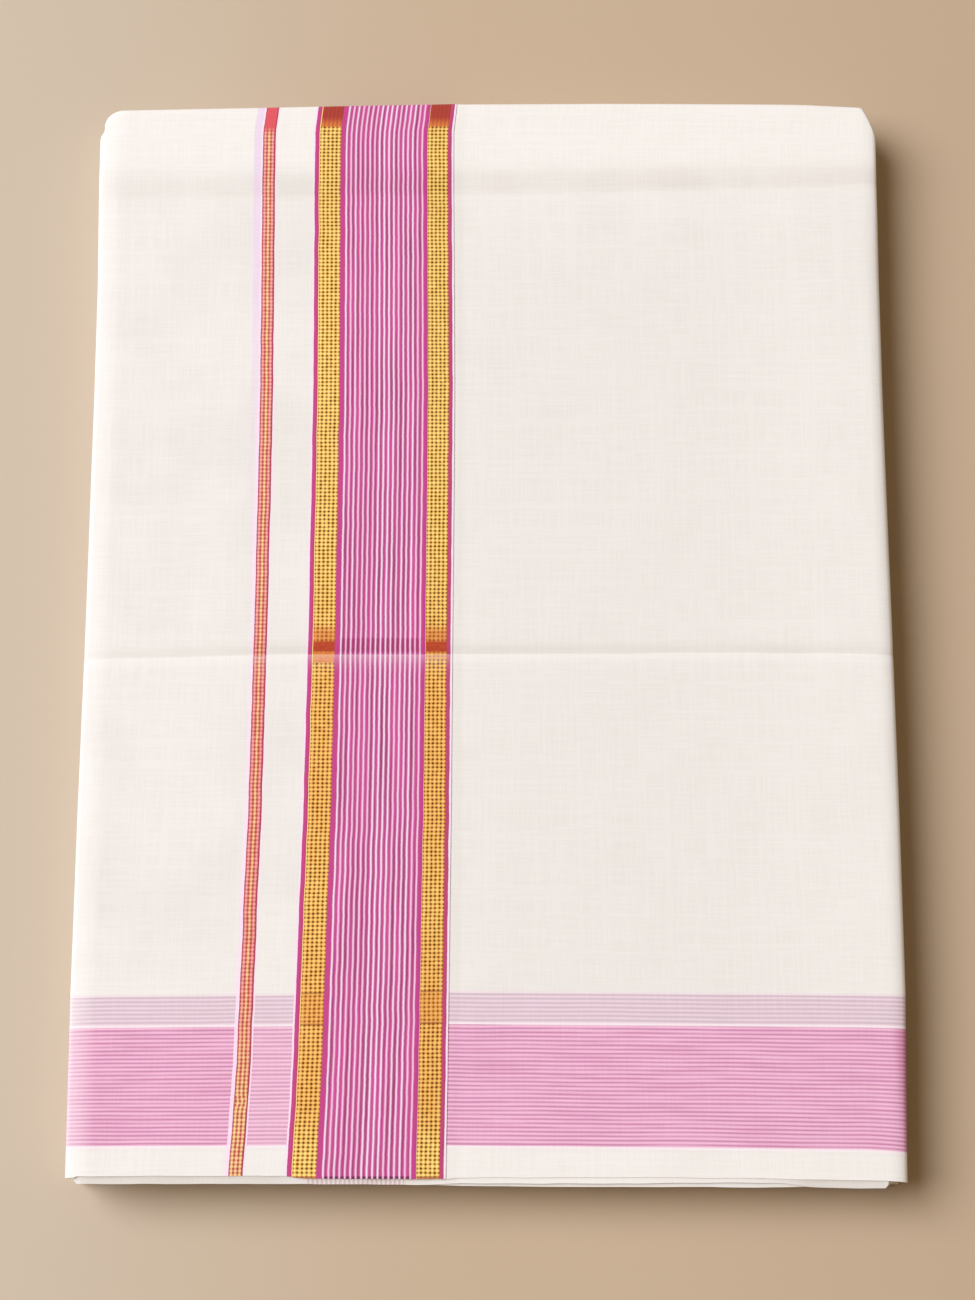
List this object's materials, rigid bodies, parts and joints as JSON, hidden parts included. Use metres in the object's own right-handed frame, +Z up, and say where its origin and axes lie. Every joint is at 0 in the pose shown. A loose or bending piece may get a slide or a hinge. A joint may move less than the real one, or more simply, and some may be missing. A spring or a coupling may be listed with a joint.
{
  "type": "folded dhoti cloth",
  "caption": "Flat folded dhoti of fine cream cotton with a striped border along the selvedge flap and cross bands near its cut end.",
  "frame": {"origin": "middle of the packet's footprint, on the surface that it lies on", "axes": "+X across the packet towards the drooping right edge, +Y along it from the cut end to the far folds, +Z up"},
  "size_m": [0.2421, 0.3333, 0.017],
  "materials": {
    "bordered_cotton": "matt cotton with dyed stripes and metallic thread",
    "cotton": "matt fine plain weave"
  },
  "bodies": {
    "root": {"border_flap": "bordered_cotton", "front_panel": "cotton", "folded_layers": "cotton", "under_flap": "bordered_cotton", "under_panel": "cotton"}
  },
  "joints": []
}
